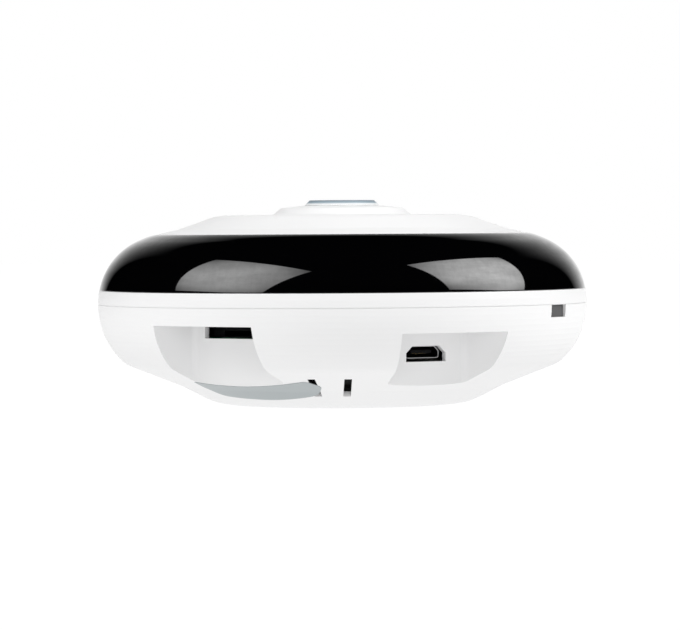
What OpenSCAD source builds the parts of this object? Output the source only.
// Round ceiling camera with a fisheye lens, shown lens up.
// The origin is the middle of the flat bottom, +Z is up and -Y is the front.

/* [Body] */
// Diameter of the body at its widest line
body_d = 100; // [90:0.5:120]
// Overall height, from the flat bottom to the top of the lens window
body_h = 41.5; // [38:0.1:45]
// Height of the seam, which is the widest line
seam_z = 20.4; // [20:0.1:22]
// Straight land on each side of the seam
seam_land = 0.3; // [0.1:0.05:0.5]
// Wall thickness of the base shell
wall = 2; // [1.6:0.1:2.2]
// Radius of the side below the seam
belly_round = 15.3; // [14:0.1:16]
// Slope of the side where it meets the underside
side_angle = 47; // [45:0.5:50]
// Slope of the underside
under_angle = 21.5; // [20:0.5:23]
// Slope of the foot cone
foot_angle = 27; // [25:0.5:30]
// How far the crease between the underside and the foot cone lies inside the widest line
crease_in = 16.8; // [15:0.1:18]
// Height of that crease
crease_z = 3.8; // [3.4:0.1:4.4]
// Rounding of the shoulder
shoulder_round = 6; // [3:0.5:7]
// Rounding of the crease
crease_round = 1.5; // [0.5:0.5:3]
// Rounding where the foot cone meets the flat bottom
foot_round = 11; // [4:1:12]

/* [Band and black window] */
// Height of the white band between the seam and the black window
band_h = 2.9; // [2.4:0.1:4]
// Radius of the black window's side, where its height has room for it
crown_round = 13.8; // [12:0.1:14.2]
// Slope of the black window's upper face
crown_angle = 19; // [17:0.5:21]
// Width of the black window, from the widest line to its inner edge
ring_w = 11.5; // [10:0.1:13]
// How far the black window stands above the front cover's rim
ring_proud = 0.03; // [0:0.01:0.3]
// Wall thickness of the black window
ring_wall = 1.8; // [1.5:0.1:2.2]
// Thickness of the skirt that locates the window in the base
skirt_t = 1.4; // [1:0.1:2]
// How far the skirt reaches below the seam
skirt_drop = 1.6; // [1:0.1:1.8]
// Height of the shelf that joins the skirt to the window
shelf_h = 1.6; // [1.2:0.1:2.4]
// Height of the seam groove
seam_gap = 0.12; // [0.05:0.01:0.3]
// Depth of the seam groove
seam_depth = 0.5; // [0.2:0.1:1]

/* [Front cover] */
// How far the plateau's edge lies inside the widest line
plateau_in = 24.5; // [22:0.5:26]
// Slope of the cover's cone
cover_angle = 19.6; // [18:0.2:21]
// Width of the flatter brim next to the black window
brim_w = 5; // [3:0.1:7]
// Slope of the brim
brim_angle = 12.4; // [8:0.2:16]
// Rounding between the brim and the cone
brim_round = 10; // [2:1:12]
// Rounding of the cover's outer edge
rim_round = 0.3; // [0.1:0.1:0.8]
// Rounding of the plateau's edge
plateau_round = 10; // [4:1:12]
// Diameter of the hub's shoulder
hub_top_d = 25; // [23:0.2:26]
// How far the hub's foot stands outside its shoulder
hub_flare = 1.7; // [1:0.1:3]
// Height of the hub's shoulder above the plateau
hub_h = 1.45; // [1:0.05:2]
// Rise of the hub's top from its shoulder to the lens window
hub_rise = 0.5; // [0.3:0.05:0.8]
// Rounding of the hub's foot
hub_foot_round = 1.2; // [0.4:0.2:2]
// Rounding of the hub's shoulder
hub_round = 1; // [0.4:0.2:2]
// Wall thickness of the front cover
cover_wall = 1.8; // [1.5:0.1:2.2]
// Thickness of the flange under the black window
flange_t = 1.2; // [1:0.1:1.6]
// How far the flange reaches under the black window
flange_reach = 1.4; // [1:0.1:2]

/* [Bays] */
// Angle of each bay's middle from the front
bay_angle = 30.8; // [30:0.2:33]
// Angle across each bay's mouth
bay_span_angle = 27.4; // [26:0.2:29]
// Width of the card bay's back wall
card_bay_w = 22; // [20:0.5:23]
// Width of the supply bay's back wall
usb_bay_w = 17.4; // [16:0.2:19]
// Depth of each bay, from the widest line to its back wall
bay_depth = 14.2; // [13:0.1:15.5]
// Height of the card bay's ceiling above the card slot
card_bay_head = 0.5; // [0.3:0.1:1]
// Height of the supply bay's ceiling above the supply opening
usb_bay_head = 2.9; // [1:0.1:3.5]
// Wall thickness of the bays
bay_wall = 1.4; // [1.2:0.1:1.4]
// Rounding of the bays' inner corners
bay_round = 1.5; // [0.5:0.5:3]

/* [Card slot, supply opening and notch] */
// Width of the card slot
card_slot_w = 16; // [15:0.5:17]
// Height of the card slot
card_slot_h = 2.3; // [2:0.1:2.6]
// Width of the supply opening
usb_hole_w = 8.8; // [8.4:0.1:10]
// Height of the supply opening
usb_hole_h = 3.1; // [3:0.1:3.4]
// Sideways shift of the card slot in its bay
card_shift = -0.5; // [-1:0.1:0]
// How far the card socket's mouth lies behind the bay's back wall
card_recess = 2.4; // [0.2:0.1:3]
// Width of each sound slot in the underside
sound_slot_w = 1.5; // [1:0.1:2]
// Angle of each sound slot from the front
sound_slot_angle = 5.2; // [4:0.2:8]
// How far the sound slots' outer ends lie inside the widest line
sound_slot_in = 10; // [9:0.5:12]
// Length of the sound slots, seen from below
sound_slot_l = 9; // [6:0.5:10]
// Width of the notch under the seam
notch_w = 6; // [4:0.5:8]
// Height of the notch
notch_h = 2.45; // [1.5:0.05:3]
// Angle of the notch from the front
notch_angle = 62.7; // [60:0.1:75]

/* [Fixings] */
// Distance between the two keyholes
keyhole_pitch = 30; // [28:1:32]
// Diameter of each keyhole's round end
keyhole_d = 8; // [7:0.2:8.4]
// Width of each keyhole's slot
keyhole_slot_w = 4.2; // [3.6:0.1:4.6]
// Travel from the round end to the end of the slot
keyhole_travel = 6; // [5:0.5:7]
// Shift of the round ends towards the back
keyhole_y = 1; // [1:0.5:2]
// Depth of the pocket behind each keyhole
keyhole_depth = 3.4; // [3:0.1:4]
// Distance of the case screws from the axis
boss_r = 18.5; // [18:0.1:19]
// Wall thickness of the base shell's screw bosses round the screw heads
boss_wall = 1; // [0.8:0.1:1.4]
// Diameter of the front cover's screw bosses
cover_boss_d = 6.4; // [5.6:0.2:7]
// Diameter of the case screws
case_screw_d = 2.8; // [2.4:0.1:3]
// Diameter of the case screws' heads
case_head_d = 5.6; // [5:0.1:5.8]
// Height of the case screws' heads
case_head_h = 2.2; // [1.6:0.1:2.6]
// Height of the seat under the case screws' heads
case_seat_z = 8; // [7:0.5:9]
// Length of the case screws below their heads
case_screw_l = 13; // [10:0.5:16]

/* [Boards] */
// How far the main board's underside lies below the seam
board_drop = 7.8; // [7:0.1:8.2]
// Thickness of the main board
board_t = 1.6; // [1:0.1:1.6]
// Gap between the main board's edge and the bays' walls
board_gap = 0.6; // [0.3:0.1:2]
// How far the lamp board's underside lies below the front cover's rim
lamp_board_drop = 8.4; // [8:0.1:9.5]
// Thickness of the lamp board
lamp_board_t = 1.4; // [1:0.1:1.6]
// How far the lamp board's edge lies inside the widest line
lamp_board_in = 4.5; // [4.5:0.5:6]
// Gap between the lamp board's inner edge and the front cover's screw bosses
lamp_board_gap = 2.8; // [1:0.1:4]
// Distance of the lamps' middles from the lamp board's edge
lamp_in = 3.3; // [3:0.1:4]
// Side of each lamp's square base
lamp_side = 5; // [4:0.2:5.4]
// Height of each lamp
lamp_h = 2.7; // [2:0.1:2.8]
// Number of places for lamps and the light sensor round the lamp board
lamp_places = 10; // [10:1:14]

/* [Lens] */
// Diameter of the lens window where it leaves the hub
window_d = 15.2; // [14:0.2:16]
// Diameter of the lens window's top face
window_top_d = 13.2; // [12:0.2:14]
// Height of the lens window above the hub
window_h = 1.05; // [0.6:0.05:1.5]
// How deep the lens window sits in the hub
window_seat = 1.2; // [0.8:0.1:1.2]
// Diameter of the clear opening under the lens window
window_clear_d = 11.4; // [10:0.2:12]
// Diameter of the lens barrel's thread
barrel_d = 12; // [11:0.2:12]
// Diameter of the lens barrel's head
barrel_head_d = 15.2; // [14:0.2:15.6]
// Diameter of the glass front element
element_d = 12.4; // [11:0.2:13]
// Height of the front element's dome
element_h = 2; // [1.2:0.1:2]

/* [Infrared cut filter] */
// Length of the sliding carrier
carrier_l = 14; // [13:0.2:15]
// Width of the sliding carrier
carrier_w = 8.4; // [7.6:0.2:9]
// Thickness of the sliding carrier
carrier_t = 1.4; // [1:0.1:1.5]
// Distance that the carrier slides
carrier_travel = 6.2; // [5.8:0.1:6.6]
// Side of each filter glass
filter_side = 5.2; // [4.6:0.1:5.4]

/* [Reset] */
// Diameter of the reset plunger
plunger_d = 2.6; // [2:0.1:3]
// Distance that the reset plunger moves
plunger_travel = 0.3; // [0.2:0.05:0.5]

/* [Hidden] */

$fn = 96;
full_turn = 360;
half_turn = 180;
quarter_turn = 90;
// Largest turn of one facet of a rounded corner, in degrees
arc_step = 4.5;
// Overrun of cuts past the faces that they open
over = 1;
// Clearance between pieces that seat in one another
seat_gap = 0.1;
// Radial clearance of screws in their holes
screw_gap = 0.2;
// Radial clearance of the plunger in its sleeve
run_gap = 0.08;
// Radial clearance of the lens window in the hub
window_gap = 0.05;

// Body lines
body_r = body_d / 2;
crease_r = body_r - crease_in;
foot_r = crease_r - crease_z / tan(foot_angle);
belly_z = seam_z - seam_land - belly_round * tan((quarter_turn - side_angle) / 2);
shoulder_r = (belly_z - body_r * tan(side_angle) - crease_z + crease_r * tan(under_angle))
    / (tan(under_angle) - tan(side_angle));
shoulder_z = crease_z + (shoulder_r - crease_r) * tan(under_angle);

// Lines of the lens window, the front cover and the black window, from the top down
window_z = body_h - window_h;
hub_z = window_z - hub_rise;
plateau_z = hub_z - hub_h;
plateau_r = body_r - plateau_in;
ring_in_r = body_r - ring_w;
cover_r = ring_in_r - seat_gap;
brim_r = cover_r - brim_w;
brim_z = plateau_z - (brim_r - plateau_r) * tan(cover_angle);
cover_rim_z = brim_z - brim_w * tan(brim_angle);
rim_h = 2.6;
crown_z = cover_rim_z + ring_proud - ring_w * tan(crown_angle);
ring_z = seam_z + band_h;
crown_side = min(crown_z - seam_z - seam_land, ring_w / cos(crown_angle));
side_round = min(crown_round, crown_side / tan((quarter_turn - crown_angle) / 2));
skirt_r = body_r - wall - seat_gap;
bay_back = body_r - bay_depth;

// Board levels and edges
board_z = seam_z - board_drop;
board_top = board_z + board_t;
board_r = bay_back - bay_wall - board_gap;
lamp_board_z = cover_rim_z - lamp_board_drop;
lamp_board_top = lamp_board_z + lamp_board_t;
lamp_board_r = body_r - lamp_board_in;
lamp_board_in_r = boss_r + cover_boss_d / 2 + lamp_board_gap;
lamp_r = lamp_board_r - lamp_in;

// Case bosses and posts
boss_angles = [90, -25, -155];
case_hole_r = case_screw_d / 2 + screw_gap;
case_bore_depth = 8;
head_gap = 0.4;
boss_d = case_head_d + 2 * (head_gap + boss_wall);
drive_w = 0.8;
drive_l = 3.2;
drive_depth = 1;
keyhole_wall = 1;
post_in = 4.5;
post_r = lamp_board_in_r + post_in;
post_d = 5;
post_angles = [30, 150, 270];
small_screw_d = 1.8;
small_head_d = 3.6;
small_head_h = 1.2;
small_screw_l = 5;
small_drive_w = 0.5;
small_drive_l = 2.4;

// Card slot and supply opening
card_slot_z = board_top - seat_gap;
usb_shell_w = 7.5;
usb_shell_h = 2.5;
usb_shell_t = 0.35;
usb_shell_l = 5.6;
usb_shell_bevel = 1;
usb_recess = 1;
usb_hole_bevel = 1.4;
usb_shell_z = board_z - usb_shell_h;
usb_hole_z = usb_shell_z - (usb_hole_h - usb_shell_h);
card_bay_z = card_slot_z + card_slot_h + card_bay_head;
usb_bay_z = usb_hole_z + usb_hole_h + usb_bay_head;
tongue_w = 4.6;
tongue_t = 0.7;
tongue_l = 4.2;
usb_face_r = bay_back - usb_recess;
tongue_drop = 1.2;
tongue_z = usb_shell_z + usb_shell_h - usb_shell_t - tongue_drop;
card_can_w = 14;
card_can_l = 12.6;
card_can_h = 1.9;
card_can_t = 0.3;
card_mouth_w = 11.4;
card_mouth_h = 1.1;
card_face_r = bay_back - bay_wall - card_recess;

// Speaker
speaker_in = 14.5;
speaker_r = body_r - speaker_in;
sound_slot_r = body_r - sound_slot_in;
speaker_z = crease_z + (speaker_r - crease_r) * tan(under_angle);
speaker_w = 14;
speaker_l = 12;
speaker_t = 3.4;
speaker_round = 2;
speaker_seat = 3.4;
speaker_rim = 1;
speaker_clearance = 0.2;
foam_t = 0.6;
cone_w = 10;
cone_l = 6;
cone_depth = 0.8;

// Lens stack
sensor_side = 8.6;
sensor_t = 1.2;
sensor_glass_side = 6;
sensor_glass_t = 0.3;
housing_wall = 1.6;
housing_floor = 1.4;
carrier_gap = 0.1;
aperture_d = 6.6;
filter_t = 0.5;
sensor_room = 0.2;
track_l = carrier_l + carrier_travel + 2 * carrier_gap;
track_w = carrier_w + 2 * carrier_gap;
housing_l = track_l + 2 * housing_wall;
housing_w = track_w + 2 * housing_wall;
sensor_box_h = sensor_t + sensor_glass_t + sensor_room;
track_z = board_top + sensor_box_h + housing_floor;
carrier_z = track_z + carrier_gap;
housing_top = track_z + carrier_t + 2 * carrier_gap;
ear_x = 9.2;
ear_y = 8.6;
ear_d = 4.6;
holder_plate_t = 1.4;
holder_top = housing_top + holder_plate_t;
holder_wall = 1.5;
holder_share = 0.6;
coil_d = 4.2;
coil_l = 7.4;
coil_flange = 5;
coil_flange_t = 0.8;
coil_x = 1.5;
coil_y = housing_w / 2 + coil_flange / 2 + seat_gap;
element_gap = 0.3;
element_seat = 0.8;
barrel_top = window_z - window_seat - element_gap - element_h;
barrel_head_h = 5.95;
barrel_head_z = barrel_top - barrel_head_h;
holder_h = (barrel_head_z - holder_top) * holder_share;
gasket_t = 0.9;
gasket_h = 1.6;
gasket_up = 1.4;
gasket_z = barrel_head_z + gasket_up;
sleeve_d = barrel_head_d + 2 * gasket_t;
sleeve_t = 1.4;
sleeve_drop = 1;
sleeve_z = barrel_head_z - sleeve_drop;
element_ball_r = (element_d * element_d / 4 + element_h * element_h) / (2 * element_h);
grip_ribs = 24;
grip_w = 0.5;
grip_depth = 0.35;

// Other parts on the boards
chip_side = 12;
chip_t = 1.2;
chip_y = 4;
sink_side = 14;
sink_base = 1.2;
sink_h = 5;
sink_fins = 5;
sink_fin_t = 1;
sink_top = board_z - chip_t;
middle_share = 0.5;
wifi_side = 12;
wifi_h = 2.2;
wifi_can_side = 10.4;
wifi_x = 14.5;
wifi_in = 15.5;
wifi_y = board_r - wifi_in;
wifi_board_t = 0.8;
antenna_in = 9;
antenna_r = body_r - antenna_in;
antenna_t = 0.6;
antenna_drop = 3.4;
antenna_span_angle = 50;
plug_angle = 170;
plug_in = 3.5;
plug_r = lamp_board_in_r + plug_in;
plug_w = 8;
plug_l = 3;
plug_h = 2;
plug_depth = 1.4;
ribbon_low = board_top + plug_h - plug_depth;
ribbon_high = lamp_board_z - plug_h + plug_depth;
ribbon_w = 6;
ribbon_t = 0.3;
mic_d = 6;
mic_h = 2.4;
mic_in = 7.4;
mic_x = mic_in - plateau_r;
mic_y = 2.5;
mic_hole_d = 1.2;
light_sensor_d = 3;
lamp_base_share = 0.42;
lamp_dome_share = 0.88;
ir_places = [1, 2, 4, 6, 8, 9];
white_places = [3, 5, 7];

// Reset
plunger_y = -12;
plunger_recess = 0.5;
sleeve_h = 5;
sleeve_wall = 1.2;
plunger_flange_d = 4.8;
plunger_flange_t = 0.8;
plunger_gap = 0.2;
switch_side = 4.6;
switch_h = 2.2;
switch_pin_d = 2.4;
switch_pin_h = 1.1;
switch_gap = 0.05;
plunger_top = board_z - switch_h - switch_pin_h - plunger_travel - switch_gap;

// Unit vector along v
function unit(v) = v / norm(v);

// Vector v turned by the angle a
function turned(v, a) = [v[0] * cos(a) - v[1] * sin(a), v[0] * sin(a) + v[1] * cos(a)];

// Position of a chain's point, without its radius
function place(p) = [p[0], p[1]];

// Points of the arc of radius r that rounds the corner p between a and b
function corner(a, p, b, r) =
    r <= 0 ? [p] :
    let (
        u = unit(a - p),
        v = unit(b - p),
        half_angle = acos(u * v) / 2,
        centre = p + unit(u + v) * r / sin(half_angle),
        start = p + u * r / tan(half_angle) - centre,
        end = p + v * r / tan(half_angle) - centre,
        turn = half_turn - 2 * half_angle,
        way = cross(start, end) > 0 ? 1 : -1,
        steps = max(1, ceil(turn / arc_step))
    )
    [for (k = [0 : steps]) centre + turned(start, way * turn * k / steps)];

// A chain of [x, y, radius] as points, with its inner corners rounded
function rounded(c) = [
    for (i = [0 : len(c) - 1])
        each (i == 0 || i == len(c) - 1)
            ? [place(c[i])]
            : corner(place(c[i - 1]), place(c[i]), place(c[i + 1]), c[i][2])
];

// Normal to the left of the way from a to b
function left(a, b) = turned(unit(place(b) - place(a)), quarter_turn);

// The chain moved to its left by w, with its radii kept on the same centres
function inset(c, w) = [
    for (i = [0 : len(c) - 1])
        let (
            before = i > 0 ? left(c[i - 1], c[i]) : left(c[0], c[1]),
            after = i < len(c) - 1 ? left(c[i], c[i + 1]) : before,
            q = place(c[i]) + (before + after) * w / (1 + before * after),
            r = c[i][2] > 0 ? max(0, c[i][2] - w * sign(cross(before, after))) : 0
        )
        [q[0], q[1], r]
];

// Outer line of the base shell, from the axis to the seam
base_line = [
    [0, 0, 0],
    [foot_r, 0, foot_round],
    [crease_r, crease_z, crease_round],
    [shoulder_r, shoulder_z, shoulder_round],
    [body_r, belly_z, belly_round],
    [body_r, seam_z, 0]
];

// Outer line of the band and the black window, from the seam to the radius r
function crown_line(r) = [
    [body_r, seam_z, 0],
    [body_r, crown_z, side_round],
    [r, crown_z + (body_r - r) * tan(crown_angle), 0]
];

// Outer line of the front cover, from its rim to the lens window
cover_line = [
    [cover_r, cover_rim_z - rim_h, 0],
    [cover_r, cover_rim_z, rim_round],
    [brim_r, brim_z, brim_round],
    [plateau_r, plateau_z, plateau_round],
    [hub_top_d / 2 + hub_flare, plateau_z, hub_foot_round],
    [hub_top_d / 2, hub_z, hub_round],
    [window_d / 2, window_z, 0]
];

// Half section under the base line moved in by w, with a top at the height top
module base_section(w, top) {
    line = inset(base_line, w);
    polygon(concat(rounded(line), [[line[len(line) - 1][0], top], [0, top]]));
}

// Half section under the crown line to the radius r, moved in by w
module crown_section(r, w) {
    line = inset(crown_line(r), w);
    low = seam_z - over;
    polygon(concat([[line[0][0], low]], rounded(line), [[line[2][0], low]]));
}

// Half section under the cover line moved in by w
module cover_section(w) {
    line = inset(cover_line, w);
    top = line[len(line) - 1];
    low = board_top;
    polygon(concat([[line[0][0], low]], rounded(line), [[0, top[1]], [0, low]]));
}

// Half section that is a rectangle from r0 to r1 and from z0 to z1
module slab(r0, r1, z0, z1) translate([r0, z0]) square([r1 - r0, z1 - z0]);

// Box centred on X and Y that stands on z
module block(x, y, z, h) translate([-x / 2, -y / 2, z]) cube([x, y, h]);

// Upright cylinder that stands on z
module post(d, z, h) translate([0, 0, z]) cylinder(d = d, h = h);

// Copies at each angle of a list, at the distance r from the axis
module around(angles, r) for (a = angles) rotate([0, 0, a]) translate([r, 0, 0]) children();

// Turns the front of a piece to the angle a, where 0 is the front of the body
module facing(a) rotate([0, 0, a]) children();

// Stadium along Y from the origin, on z
module stadium(d, l, z, h) {
    post(d, z, h);
    translate([0, l, 0]) post(d, z, h);
    translate([-d / 2, 0, z]) cube([d, l, h]);
}

// Outline of a bay with a back wall back_w wide, grown by w towards the inside of the body
module bay_plan(w, back_w) {
    half_angle = bay_span_angle / 2;
    flare = atan((body_r * sin(half_angle) - back_w / 2) / (body_r * cos(half_angle) - bay_back));
    back = bay_back - w;
    reach = body_r + over;
    side = back_w / 2 + w / cos(flare);
    corner_x = side - w * tan(flare);
    far_x = side + (reach - bay_back) * tan(flare);
    polygon(rounded([
        [-far_x, -reach, 0],
        [-corner_x, -back, bay_round + w],
        [corner_x, -back, bay_round + w],
        [far_x, -reach, 0]
    ]));
}

// Solid round a bay, or with w = 0 the bay itself, up to the height top
module bay(w, back_w, top, low) translate([0, 0, low]) linear_extrude(top - low) bay_plan(w, back_w);

// Outline of a supply socket or opening, with the two upper corners cut off
module usb_outline(w, h, bevel) polygon([
    [-w / 2, 0], [w / 2, 0], [w / 2, h - bevel],
    [w / 2 - bevel, h], [-w / 2 + bevel, h], [-w / 2, h - bevel]
]);

// Supply outline pushed back along +Y from the distance r
module usb_prism(w, h, bevel, r, l, z)
    translate([0, l - r, z]) rotate([quarter_turn, 0, 0]) linear_extrude(l) usb_outline(w, h, bevel);

// Local frame of the speaker: z = 0 on the underside's slope
module at_speaker() translate([0, -speaker_r, speaker_z]) rotate([-under_angle, 0, 0]) children();

// Rounded rectangle centred on the origin
module pad(x, y, r) {
    square([x - 2 * r, y], center = true);
    square([x, y - 2 * r], center = true);
    for (i = [-1, 1], j = [-1, 1])
        translate([i * (x / 2 - r), j * (y / 2 - r)]) circle(r = r);
}

// Recess of a cross-head screw, cut up from z
module cross_recess(z) {
    block(drive_w, drive_l, z - over, drive_depth + over);
    block(drive_l, drive_w, z - over, drive_depth + over);
}

module keyhole_pocket(w, z, h)
    for (side = [-1, 1])
        translate([side * keyhole_pitch / 2, keyhole_y, 0]) stadium(keyhole_d + 2 * w, keyhole_travel, z, h);

module keyholes()
    for (side = [-1, 1])
        translate([side * keyhole_pitch / 2, keyhole_y, 0]) {
            post(keyhole_d, -over, wall + 2 * over);
            stadium(keyhole_slot_w, keyhole_travel, -over, wall + 2 * over);
        }

module base_inside() {
    facing(-bay_angle) bay(bay_wall, card_bay_w, card_bay_z + bay_wall, 0);
    facing(bay_angle) bay(bay_wall, usb_bay_w, usb_bay_z + bay_wall, 0);
    around(boss_angles, boss_r) post(boss_d, 0, board_z);
    keyhole_pocket(keyhole_wall + seat_gap, 0, wall + keyhole_depth + keyhole_wall);
    translate([0, plunger_y, 0]) post(plunger_d + 2 * (run_gap + sleeve_wall), 0, sleeve_h);
    at_speaker()
        translate([0, 0, -wall])
            linear_extrude(speaker_seat + foam_t + speaker_rim + wall)
                pad(
                    speaker_w + 2 * (speaker_clearance + speaker_rim),
                    speaker_l + 2 * (speaker_clearance + speaker_rim),
                    speaker_round + speaker_clearance + speaker_rim
                );
}

module base_cuts() {
    facing(-bay_angle) {
        bay(0, card_bay_w, card_bay_z, -over);
        translate([card_shift - card_slot_w / 2, -bay_back - over, card_slot_z])
            cube([card_slot_w, bay_wall + 2 * over, card_slot_h]);
    }
    facing(bay_angle) {
        bay(0, usb_bay_w, usb_bay_z, -over);
        usb_prism(usb_hole_w, usb_hole_h, usb_hole_bevel, bay_back + over, bay_wall + 2 * over, usb_hole_z);
    }
    around(boss_angles, boss_r) {
        post(2 * case_hole_r, -over, board_z + 2 * over);
        post(case_head_d + 2 * head_gap, -over, case_seat_z + over);
    }
    keyholes();
    keyhole_pocket(keyhole_wall / 2, wall, keyhole_depth);
    translate([0, plunger_y, 0]) post(plunger_d + 2 * run_gap, -over, sleeve_h + 2 * over);
    at_speaker() {
        translate([0, 0, speaker_seat])
            linear_extrude(speaker_t + foam_t + over)
                pad(speaker_w + 2 * speaker_clearance, speaker_l + 2 * speaker_clearance,
                    speaker_round + speaker_clearance);
        translate([0, 0, wall])
            linear_extrude(speaker_seat)
                pad(speaker_w - 2 * speaker_rim, speaker_l - 2 * speaker_rim, speaker_rim);
    }
    for (side = [-1, 1])
        facing(side * sound_slot_angle)
            at_speaker()
                translate([-sound_slot_w / 2, (speaker_r - sound_slot_r) / cos(under_angle), -wall])
                    cube([sound_slot_w, sound_slot_l / cos(under_angle), 2 * wall + seat_gap]);
    facing(notch_angle)
        translate([-notch_w / 2, -body_r - over, seam_z - notch_h])
            cube([notch_w, wall + 2 * over, notch_h + over]);
}

module base_shell() color("white")
    difference() {
        union() {
            difference() {
                rotate_extrude() base_section(0, seam_z);
                rotate_extrude() base_section(wall, seam_z + over);
            }
            intersection() {
                base_inside();
                rotate_extrude() base_section(wall / 2, seam_z);
            }
        }
        base_cuts();
    }

module middle_band() color("white")
    rotate_extrude()
        difference() {
            intersection() {
                crown_section(ring_in_r, 0);
                slab(body_r - wall, body_r + over, seam_z, ring_z);
            }
            slab(body_r - seam_depth, body_r + over, seam_z - over, seam_z + seam_gap);
        }

module ir_window_ring() color([0.03, 0.03, 0.035])
    rotate_extrude() {
        difference() {
            intersection() {
                crown_section(ring_in_r, 0);
                slab(ring_in_r, body_r + over, ring_z, body_h);
            }
            crown_section(ring_in_r - over, ring_wall);
        }
        intersection() {
            crown_section(ring_in_r, 0);
            slab(skirt_r - skirt_t, body_r - seam_depth, ring_z, ring_z + shelf_h);
        }
        slab(skirt_r - skirt_t, skirt_r, seam_z - skirt_drop, ring_z + shelf_h / 2);
    }

module front_cover() color("white")
    difference() {
        union() {
            rotate_extrude() {
                difference() {
                    intersection() {
                        cover_section(0);
                        slab(0, cover_r, cover_rim_z - rim_h, body_h);
                    }
                    cover_section(cover_wall);
                }
                difference() {
                    intersection() {
                        crown_section(cover_r - cover_wall, ring_wall + seat_gap);
                        slab(cover_r - cover_wall, cover_r + flange_reach, lamp_board_top, body_h);
                    }
                    crown_section(cover_r - cover_wall - over, ring_wall + seat_gap + flange_t);
                }
            }
            intersection() {
                rotate_extrude() cover_section(cover_wall / 2);
                union() {
                    around(boss_angles, boss_r) post(cover_boss_d, board_top, body_h);
                    around(post_angles, post_r) post(post_d, lamp_board_top, body_h);
                    difference() {
                        post(sleeve_d + 2 * sleeve_t, sleeve_z, body_h);
                        post(sleeve_d, sleeve_z - over, body_h + 2 * over);
                    }
                }
            }
        }
        post(window_d + 2 * window_gap, window_z - window_seat, window_seat + over);
        post(window_clear_d, sleeve_z, body_h);
        around(boss_angles, boss_r) post(case_screw_d + seat_gap, board_top - over, case_bore_depth + over);
        around(post_angles, post_r) post(small_screw_d + seat_gap, lamp_board_z, small_screw_l + over);
        translate([mic_x, mic_y, 0]) post(mic_hole_d, sleeve_z, body_h);
    }

module lens_window() color([0.16, 0.2, 0.24])
    rotate_extrude()
        polygon([
            [0, window_z - window_seat], [window_d / 2, window_z - window_seat],
            [window_d / 2, window_z], [window_top_d / 2, body_h], [0, body_h]
        ]);

module front_element() color([0.3, 0.34, 0.42])
    rotate_extrude() {
        slab(0, element_d / 2, barrel_top - element_seat, barrel_top);
        intersection() {
            translate([0, barrel_top + element_h - element_ball_r]) circle(r = element_ball_r);
            slab(0, element_d / 2, barrel_top, body_h);
        }
    }

module lens_barrel() color([0.08, 0.08, 0.09])
    difference() {
        union() {
            post(barrel_d, holder_top, barrel_head_z - holder_top);
            post(barrel_head_d, barrel_head_z, barrel_top - barrel_head_z);
        }
        post(element_d, barrel_top - element_seat, element_seat + over);
        for (i = [0 : grip_ribs - 1])
            rotate([0, 0, i * full_turn / grip_ribs])
                translate([barrel_head_d / 2 - grip_depth, -grip_w / 2, barrel_head_z - over])
                    cube([grip_depth + over, grip_w, gasket_z - barrel_head_z]);
    }

module lens_gasket() color([0.12, 0.12, 0.12])
    rotate_extrude() slab(barrel_head_d / 2, sleeve_d / 2, gasket_z, gasket_z + gasket_h);

// Plan of the filter housing with its two ears
module housing_plan() {
    square([housing_l, housing_w], center = true);
    for (side = [-1, 1]) {
        translate([-side * ear_x, side * ear_y]) circle(d = ear_d);
        translate([-side * ear_x, side * ear_y / 2]) square([ear_d, ear_y], center = true);
    }
}

// Copies at the two ears
module at_ears() for (side = [-1, 1]) translate([-side * ear_x, side * ear_y, 0]) children();

module lens_holder() color([0.1, 0.1, 0.1])
    difference() {
        union() {
            translate([0, 0, housing_top]) linear_extrude(holder_plate_t) housing_plan();
            post(barrel_d + 2 * holder_wall, holder_top, holder_h);
        }
        post(barrel_d + seat_gap, housing_top - over, holder_plate_t + holder_h + 2 * over);
        at_ears() post(small_screw_d + seat_gap, housing_top - over, holder_plate_t + 2 * over);
    }

module holder_screws() color("silver")
    at_ears() {
        post(small_screw_d, board_z, holder_top - board_z);
        difference() {
            post(small_head_d, holder_top, small_head_h);
            block(small_drive_w, small_drive_l, holder_top + small_head_h / 2, small_head_h);
        }
    }

module ir_cut_housing() color([0.15, 0.15, 0.15])
    difference() {
        translate([0, 0, board_top]) linear_extrude(housing_top - board_top) housing_plan();
        block(sensor_side + sensor_room, sensor_side + sensor_room, board_top - over, sensor_box_h + over);
        post(aperture_d, board_top, housing_top - board_top + over);
        block(track_l, track_w, track_z, housing_top - track_z + over);
        at_ears() post(small_screw_d + seat_gap, board_top - over, housing_top - board_top + 2 * over);
    }

module ir_cut_carrier() color([0.2, 0.2, 0.22])
    difference() {
        translate([-carrier_travel / 2, 0, 0]) block(carrier_l, carrier_w, carrier_z, carrier_t);
        for (x = [0, -carrier_travel])
            translate([x, 0, 0]) block(filter_side, filter_side, carrier_z - over, carrier_t + 2 * over);
    }

module ir_cut_filters() color([0.7, 0.45, 0.5])
    for (x = [0, -carrier_travel])
        translate([x, 0, 0])
            block(filter_side, filter_side, carrier_z + (carrier_t - filter_t) / 2, filter_t);

module ir_cut_coil() color([0.7, 0.4, 0.2])
    translate([coil_x, coil_y, board_top + coil_flange / 2]) rotate([0, quarter_turn, 0]) {
        translate([0, 0, -coil_l / 2]) cylinder(d = coil_d, h = coil_l);
        for (z = [-coil_l / 2 - coil_flange_t, coil_l / 2]) block(coil_flange, coil_flange, z, coil_flange_t);
    }

module image_sensor() color([0.2, 0.22, 0.25]) {
    block(sensor_side, sensor_side, board_top, sensor_t);
    block(sensor_glass_side, sensor_glass_side, board_top + sensor_t, sensor_glass_t);
}

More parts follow.
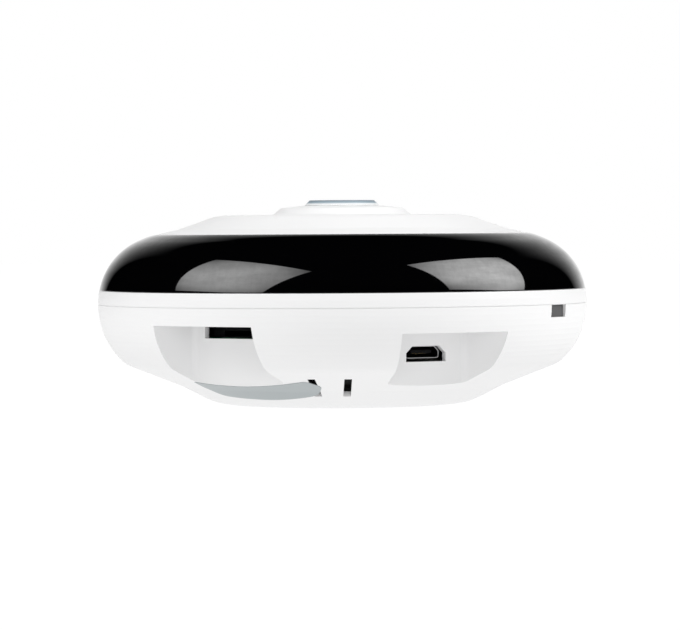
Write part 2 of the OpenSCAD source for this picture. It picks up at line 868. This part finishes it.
module main_board() color([0.05, 0.35, 0.2])
    difference() {
        post(2 * board_r, board_z, board_t);
        around(boss_angles, boss_r) post(2 * case_hole_r, board_z - over, board_t + 2 * over);
        at_ears() post(small_screw_d + seat_gap, board_z - over, board_t + 2 * over);
    }

module processor() color([0.1, 0.1, 0.1])
    translate([0, chip_y, 0]) block(chip_side, chip_side, board_z - chip_t, chip_t);

module heat_sink() color([0.75, 0.76, 0.78])
    translate([0, chip_y, 0]) {
        block(sink_side, sink_side, sink_top - sink_base, sink_base);
        for (i = [0 : sink_fins - 1])
            translate([(sink_side - sink_fin_t) * (i / (sink_fins - 1) - middle_share), 0, 0])
                block(sink_fin_t, sink_side, sink_top - sink_h, sink_h - sink_base);
    }

module wifi_module() color([0.72, 0.73, 0.75])
    translate([wifi_x, wifi_y, 0]) {
        block(wifi_side, wifi_side, board_top, wifi_board_t);
        block(wifi_can_side, wifi_can_side, board_top + wifi_board_t, wifi_h - wifi_board_t);
    }

module antenna() color([0.8, 0.55, 0.2])
    rotate([0, 0, quarter_turn - antenna_span_angle / 2])
        rotate_extrude(angle = antenna_span_angle)
            intersection() {
                slab(antenna_r, antenna_r + antenna_t, 0, seam_z - antenna_drop);
                base_section(wall + seat_gap, seam_z);
            }

module usb_socket() color("silver")
    facing(bay_angle)
        difference() {
            usb_prism(usb_shell_w, usb_shell_h, usb_shell_bevel, usb_face_r, usb_shell_l, usb_shell_z);
            usb_prism(
                usb_shell_w - 2 * usb_shell_t, usb_shell_h - 2 * usb_shell_t, usb_shell_bevel - usb_shell_t / 2,
                usb_face_r + over, usb_shell_l - usb_shell_t + over, usb_shell_z + usb_shell_t
            );
        }

module usb_tongue() color([0.1, 0.1, 0.1])
    facing(bay_angle)
        translate([-tongue_w / 2, usb_shell_l - usb_shell_t - tongue_l - usb_face_r, tongue_z])
            cube([tongue_w, tongue_l, tongue_t]);

module card_socket() color("silver")
    facing(-bay_angle)
        difference() {
            translate([card_shift - card_can_w / 2, -card_face_r, board_top])
                cube([card_can_w, card_can_l, card_can_h]);
            translate([card_shift - card_mouth_w / 2, -card_face_r - over, board_top + card_can_t])
                cube([card_mouth_w, card_can_l - card_can_t + over, card_mouth_h]);
        }

module board_connectors() color([0.9, 0.88, 0.8])
    around([plug_angle], plug_r)
        difference() {
            union() {
                block(plug_l, plug_w, board_top, plug_h);
                block(plug_l, plug_w, lamp_board_z - plug_h, plug_h);
            }
            block(ribbon_t + seat_gap, ribbon_w + seat_gap, ribbon_low, ribbon_high - ribbon_low);
        }

module ribbon_cable() color([0.93, 0.93, 0.9])
    around([plug_angle], plug_r) block(ribbon_t, ribbon_w, ribbon_low, ribbon_high - ribbon_low);

module reset_switch() color([0.6, 0.6, 0.62])
    translate([0, plunger_y, 0]) {
        block(switch_side, switch_side, board_z - switch_h, switch_h);
        post(switch_pin_d, board_z - switch_h - switch_pin_h, switch_pin_h);
    }

module reset_plunger() color([0.85, 0.85, 0.85])
    translate([0, plunger_y, 0]) {
        post(plunger_d, plunger_recess, plunger_top - plunger_recess);
        post(plunger_flange_d, sleeve_h + plunger_gap, plunger_flange_t);
    }

module speaker() color([0.15, 0.15, 0.16])
    at_speaker()
        difference() {
            translate([0, 0, speaker_seat + foam_t])
                linear_extrude(speaker_t) pad(speaker_w, speaker_l, speaker_round);
            translate([0, 0, speaker_seat])
                linear_extrude(foam_t + cone_depth) pad(cone_w, cone_l, speaker_round);
        }

module speaker_gasket() color([0.25, 0.25, 0.25])
    at_speaker()
        translate([0, 0, speaker_seat])
            linear_extrude(foam_t)
                difference() {
                    pad(speaker_w, speaker_l, speaker_round);
                    pad(speaker_w - 2 * speaker_rim, speaker_l - 2 * speaker_rim, speaker_rim);
                }

module microphone() color([0.8, 0.8, 0.8])
    translate([mic_x, mic_y, 0]) {
        post(mic_d, plateau_z - cover_wall - mic_h, mic_h);
    }

module lamp_board() color([0.05, 0.35, 0.2])
    difference() {
        post(2 * lamp_board_r, lamp_board_z, lamp_board_t);
        post(2 * lamp_board_in_r, lamp_board_z - over, lamp_board_t + 2 * over);
        around(post_angles, post_r) post(small_screw_d + seat_gap, lamp_board_z - over, lamp_board_t + 2 * over);
    }

// One lamp: a square base, a round body and a domed lens
module lamp() {
    base_h = lamp_h * lamp_base_share;
    lens_d = lamp_side * lamp_dome_share;
    dome_h = lamp_h - base_h;
    ball_r = (lens_d * lens_d / 4 + dome_h * dome_h) / (2 * dome_h);
    block(lamp_side, lamp_side, lamp_board_top, base_h);
    intersection() {
        translate([0, 0, lamp_board_top + lamp_h - ball_r]) sphere(r = ball_r);
        post(lens_d, lamp_board_top + base_h, dome_h + over);
    }
}

// Angles of the given places round the lamp board, counted from the front
function lamp_angles(places) = [for (i = places) i * full_turn / lamp_places - quarter_turn];

module ir_lamps() color([0.25, 0.15, 0.2]) around(lamp_angles(ir_places), lamp_r) lamp();

module white_lamps() color([0.95, 0.9, 0.5]) around(lamp_angles(white_places), lamp_r) lamp();

module light_sensor() color([0.8, 0.8, 0.85])
    around(lamp_angles([0]), lamp_r) post(light_sensor_d, lamp_board_top, lamp_h);

module lamp_board_screws() color("silver")
    around(post_angles, post_r) {
        post(small_screw_d, lamp_board_z, small_screw_l);
        difference() {
            post(small_head_d, lamp_board_z - small_head_h, small_head_h);
            block(small_drive_w, small_drive_l, lamp_board_z - small_head_h - over, over + small_head_h / 2);
        }
    }

module case_screws() color("silver")
    around(boss_angles, boss_r) {
        post(case_screw_d, case_seat_z, case_screw_l);
        difference() {
            post(case_head_d, case_seat_z - case_head_h, case_head_h);
            cross_recess(case_seat_z - case_head_h);
        }
    }

base_shell();
middle_band();
ir_window_ring();
front_cover();
lens_window();
front_element();
lens_barrel();
lens_gasket();
lens_holder();
holder_screws();
ir_cut_housing();
ir_cut_carrier();
ir_cut_filters();
ir_cut_coil();
image_sensor();
main_board();
processor();
heat_sink();
wifi_module();
antenna();
usb_socket();
usb_tongue();
card_socket();
board_connectors();
ribbon_cable();
reset_switch();
reset_plunger();
speaker();
speaker_gasket();
microphone();
lamp_board();
ir_lamps();
white_lamps();
light_sensor();
lamp_board_screws();
case_screws();
